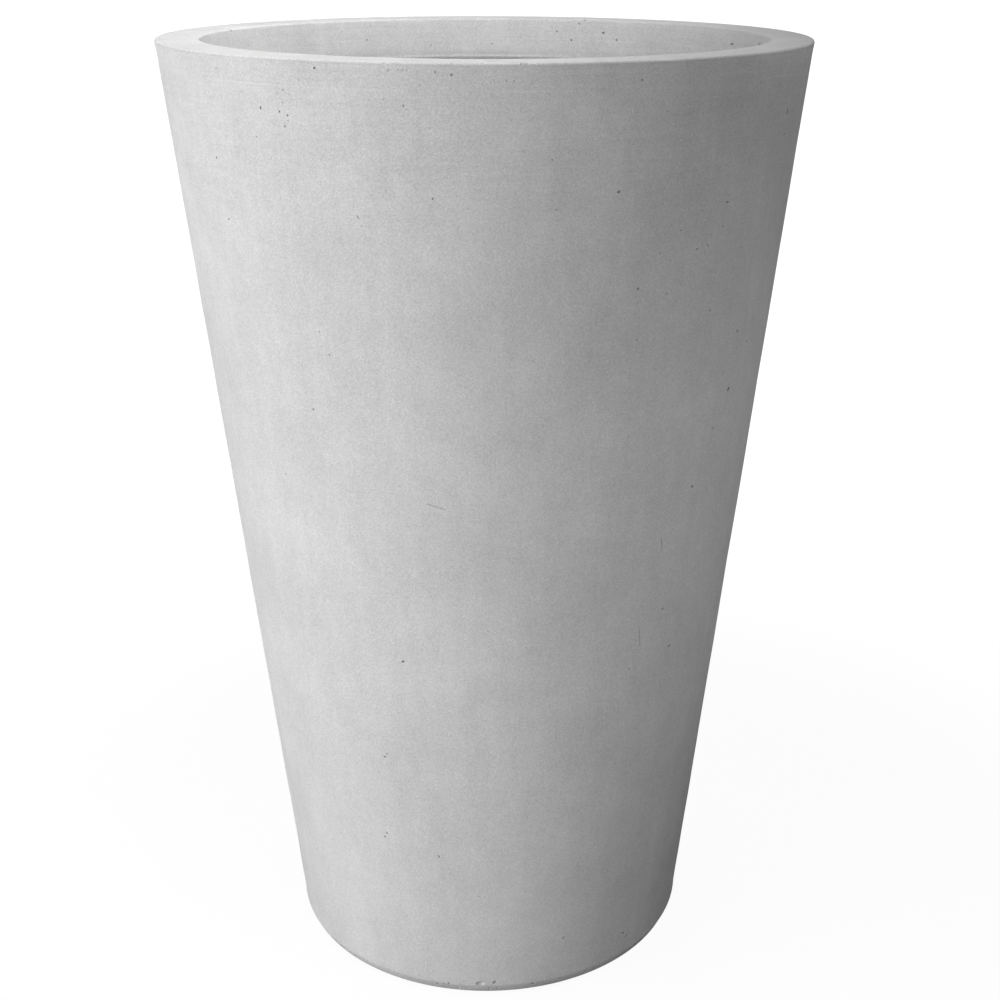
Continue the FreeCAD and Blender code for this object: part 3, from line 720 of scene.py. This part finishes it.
def fibre_cement():
    """Cement paste with fine sand, cast and rubbed down: soft clouds where the paste set unevenly, faint
    upright runs, level rubbing marks under the rim with one broken line where the cast was struck off, and
    sand grain; painted shade on the rim's rounded arrises against the line of light that they catch, painted
    shade in the mouths of tiny air holes, and painted shade on the edge at the foot."""
    material, tree = new_material("fibre_cement_cast_and_rubbed")
    place = add_node(tree, "ShaderNodeTexCoord").outputs["Object"]
    height = add_node(tree, "ShaderNodeSeparateXYZ", {0: place}).outputs["Z"]
    patterns = {}
    for name, (size, detail, _) in CEMENT_PATTERNS.items():
        way = place
        if name in DRAWN_OUT:
            way = add_node(tree, "ShaderNodeMapping", {"Vector": place, "Scale": DRAWN_OUT[name]}).outputs[0]
        patterns[name] = add_node(tree, "ShaderNodeTexNoise", {
            "Vector": way, "Scale": 1 / size, "Detail": detail}).outputs[0]

    under_rim = add_node(tree, "ShaderNodeMapRange", {
        "Value": height, "From Min": RUBBING_FROM, "From Max": RUBBING_FULL},
        interpolation_type="SMOOTHSTEP").outputs["Result"]
    weights = {name: weight for name, (_, _, weight) in CEMENT_PATTERNS.items()}
    weights["rubbing"] = add_node(tree, "ShaderNodeMath", {
        0: under_rim, 1: weights["rubbing"]}, operation="MULTIPLY").outputs[0]
    tone = weigh(tree, [(patterns[name], weight) for name, weight in weights.items()])

    off_line = add_node(tree, "ShaderNodeMath", {
        0: height, 1: TOP - STRIKE_LINE}, operation="SUBTRACT").outputs[0]
    off_line = add_node(tree, "ShaderNodeMath", {0: off_line}, operation="ABSOLUTE").outputs[0]
    line = add_node(tree, "ShaderNodeMapRange", {
        "Value": off_line, "From Min": LINE_CORE, "From Max": LINE_EDGE,
        "To Min": 1.0, "To Max": 0.0}).outputs["Result"]
    broken = add_node(tree, "ShaderNodeMapRange", {
        "Value": patterns["clouds"], "From Min": LINE_BREAK[0], "From Max": LINE_BREAK[1]},
        interpolation_type="SMOOTHSTEP").outputs["Result"]
    line = add_node(tree, "ShaderNodeMath", {0: line, 1: broken}, operation="MULTIPLY").outputs[0]
    tone = add_node(tree, "ShaderNodeMath", {
        0: line, 1: LINE_TONE, 2: tone}, operation="MULTIPLY_ADD").outputs[0]

    # Painted shade on the rim's rounded arrises, dimming the line of light that they catch, a little less at
    # the mouth
    arris_top = add_node(tree, "ShaderNodeMapRange", {
        "Value": height, "From Min": ARRIS_FADES, "From Max": ARRIS_END,
        "To Min": 1.0, "To Max": 0.0}).outputs["Result"]
    arris_foot = add_node(tree, "ShaderNodeMapRange", {
        "Value": height, "From Min": ARRIS_FROM, "From Max": ARRIS_FULL}).outputs["Result"]
    flat = add_node(tree, "ShaderNodeMapping", {"Vector": place, "Scale": (1, 1, 0)}).outputs[0]
    radius = add_node(tree, "ShaderNodeVectorMath", {0: flat}, operation="LENGTH").outputs["Value"]
    arris_shade_outward = add_node(tree, "ShaderNodeMapRange", {
        "Value": radius, "From Min": MOUTH_RADIUS, "From Max": RIM_RADIUS,
        "To Min": ARRIS_SHADE_AT_MOUTH, "To Max": 1.0}).outputs["Result"]
    arris_shade = add_node(tree, "ShaderNodeMath", {0: arris_top, 1: arris_foot}, operation="MULTIPLY").outputs[0]
    arris_shade = add_node(tree, "ShaderNodeMath", {0: arris_shade, 1: arris_shade_outward}, operation="MULTIPLY").outputs[0]
    tone = add_node(tree, "ShaderNodeMath", {
        0: arris_shade, 1: ARRIS_SHADE_TONE, 2: tone}, operation="MULTIPLY_ADD").outputs[0]
    colour = add_node(tree, "ShaderNodeMix", {
        "Factor": tone, MIX_FIRST: linear(CEMENT_DARK), MIX_SECOND: linear(CEMENT_LIGHT)},
        data_type="RGBA").outputs[MIX_RESULT]

    # Painted shade in the mouths of tiny air holes
    cells = add_node(tree, "ShaderNodeTexVoronoi", {"Vector": place, "Scale": 1 / HOLE_CELL})
    chance = add_node(tree, "ShaderNodeSeparateColor", {0: cells.outputs["Color"]}).outputs["Red"]
    hole_size = add_node(tree, "ShaderNodeMapRange", {
        "Value": chance, "From Min": HOLE_CHANCE, "From Max": 1.0,
        "To Min": 0.0, "To Max": HOLE_LARGEST}).outputs["Result"]
    hole_shade = add_node(tree, "ShaderNodeMath", {
        0: cells.outputs["Distance"], 1: hole_size}, operation="LESS_THAN").outputs[0]
    hole_shade = add_node(tree, "ShaderNodeMath", {0: hole_shade, 1: HOLE_SHADE_SHARE}, operation="MULTIPLY").outputs[0]
    colour = add_node(tree, "ShaderNodeMix", {
        "Factor": hole_shade, MIX_FIRST: colour, MIX_SECOND: linear(HOLE_SHADE_COLOUR)},
        data_type="RGBA").outputs[MIX_RESULT]

    # Painted shade on the edge at the foot, where it turns down towards the floor
    foot_shade = add_node(tree, "ShaderNodeMapRange", {
        "Value": height, "From Min": FOOT_SHADE_FULL, "From Max": FOOT_SHADE_END,
        "To Min": FOOT_SHADE_SHARE, "To Max": 0.0}, interpolation_type="SMOOTHSTEP").outputs["Result"]
    colour = add_node(tree, "ShaderNodeMix", {
        "Factor": foot_shade, MIX_FIRST: colour, MIX_SECOND: linear(FOOT_SHADE_COLOUR)},
        data_type="RGBA").outputs[MIX_RESULT]

    roughness = add_node(tree, "ShaderNodeMapRange", {
        "Value": patterns["patches"], "From Min": NOISE_LOW, "From Max": NOISE_HIGH,
        "To Min": CEMENT_ROUGHNESS[0], "To Max": CEMENT_ROUGHNESS[1]}).outputs["Result"]
    raised = [(patterns[name], weight) for name, weight in CEMENT_RELIEF.items()]
    relief = weigh(tree, raised + [(patterns["rubbing"], weights["rubbing"])])
    bump = add_node(tree, "ShaderNodeBump", {
        "Height": relief, "Strength": RELIEF_STRENGTH, "Distance": RELIEF_HEIGHT}).outputs[0]
    surface = add_node(tree, "ShaderNodeBsdfPrincipled", {
        "Base Color": colour, "Roughness": roughness, "Specular IOR Level": CEMENT_SPECULAR, "Normal": bump})
    add_node(tree, "ShaderNodeOutputMaterial", {"Surface": surface.outputs[0]})
    return material


def rubber(name, dark, light, grain_size):
    """Black rubber: matt, with the dusty bloom of its surface and the fine texture of the mould or the
    knife."""
    material, tree = new_material(name)
    place = add_node(tree, "ShaderNodeTexCoord").outputs["Object"]
    bloom = add_node(tree, "ShaderNodeTexNoise", {
        "Vector": place, "Scale": 1 / BLOOM_SIZE, "Detail": BLOOM_DETAIL}).outputs[0]
    grain = add_node(tree, "ShaderNodeTexNoise", {
        "Vector": place, "Scale": 1 / grain_size, "Detail": RUBBER_GRAIN_DETAIL,
        "Roughness": RUBBER_GRAIN_ROUGHNESS}).outputs[0]
    colour = add_node(tree, "ShaderNodeMix", {
        "Factor": bloom, MIX_FIRST: linear(dark), MIX_SECOND: linear(light)},
        data_type="RGBA").outputs[MIX_RESULT]
    roughness = add_node(tree, "ShaderNodeMapRange", {
        "Value": bloom, "From Min": NOISE_LOW, "From Max": NOISE_HIGH,
        "To Min": RUBBER_ROUGHNESS[0], "To Max": RUBBER_ROUGHNESS[1]}).outputs["Result"]
    bump = add_node(tree, "ShaderNodeBump", {
        "Height": grain, "Strength": RUBBER_RELIEF_STRENGTH, "Distance": RUBBER_RELIEF_HEIGHT}).outputs[0]
    surface = add_node(tree, "ShaderNodeBsdfPrincipled", {
        "Base Color": colour, "Roughness": roughness, "Normal": bump})
    add_node(tree, "ShaderNodeOutputMaterial", {"Surface": surface.outputs[0]})
    return material


def light_studio():
    """A white room that gives off a plain level of light, and the lamps in it."""
    scene = bpy.context.scene
    scene.view_settings.view_transform = "Standard"
    world = bpy.data.worlds.new("white_room")
    scene.world = world
    world.use_nodes = True
    tree = world.node_tree
    tree.nodes.clear()
    path = add_node(tree, "ShaderNodeLightPath")
    strength = add_node(tree, "ShaderNodeMapRange", {
        "Value": path.outputs["Is Camera Ray"], "To Min": AMBIENT, "To Max": 1.0})
    room = add_node(tree, "ShaderNodeBackground", {
        "Color": linear("#ffffff"), "Strength": strength.outputs["Result"]})
    add_node(tree, "ShaderNodeOutputWorld", {"Surface": room.outputs[0]})
    for name, place, aim, size, spread, radiance in LAMPS:
        bpy.ops.object.light_add(type="AREA", location=place)
        lamp = bpy.context.object
        lamp.name = name
        lamp.rotation_euler = (Vector(place) - Vector(aim)).to_track_quat("Z", "Y").to_euler()
        lamp.data.shape = "SQUARE"
        lamp.data.size = size
        lamp.data.spread = math.radians(spread)
        lamp.data.energy = radiance * math.pi * size ** 2


def lay_floor():
    """The sheet of paper that the pot stands on."""
    bpy.ops.object.select_all(action="DESELECT")
    bpy.ops.mesh.primitive_plane_add(size=FLOOR_SIZE, location=(0, 0, -FLOOR_GAP))
    bpy.ops.object.transform_apply(location=True, rotation=False, scale=False)
    floor = bpy.context.object
    floor.name = "paper_floor"
    floor.data.materials.append(stage_paper())


camera = make_camera()
lay_floor()
light_studio()

shell = cast_shell()
uneven(shell, "outer_wall", on_outer_wall, *OUTER_HOLLOWS)
uneven(shell, "rim", on_rim, *RIM_HOLLOWS)
uneven(shell, "inner_wall", on_inner_wall, *INNER_HOLLOWS)
marks = seen_marks(shell, camera, SEEN_PITS + SEEN_CHIPS)
cut_marks(shell, marks + other_marks(shell, marks))
only(shell)
bpy.ops.object.shade_smooth_by_angle(angle=SMOOTH_ANGLE)
shell.data.materials.clear()
shell.data.materials.append(fibre_cement())
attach(shell, "pot")
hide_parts("pot_shell")

plug = mould_plug()
only(plug)
bpy.ops.object.shade_smooth_by_angle(angle=SMOOTH_ANGLE)
plug.data.materials.append(rubber("rubber_moulded_matt", "#1f1f20", "#2e2e2e", 0.6 * MM))
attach(plug, "plug")
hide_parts("drain_plug")

pad_rubber = rubber("rubber_die_cut_from_sheet", "#303030", "#3e3e3d", 1.2 * MM)
for name, node in frame["nodes"].items():
    if name.startswith("foot_pad"):
        node.material_slots[0].material = pad_rubber
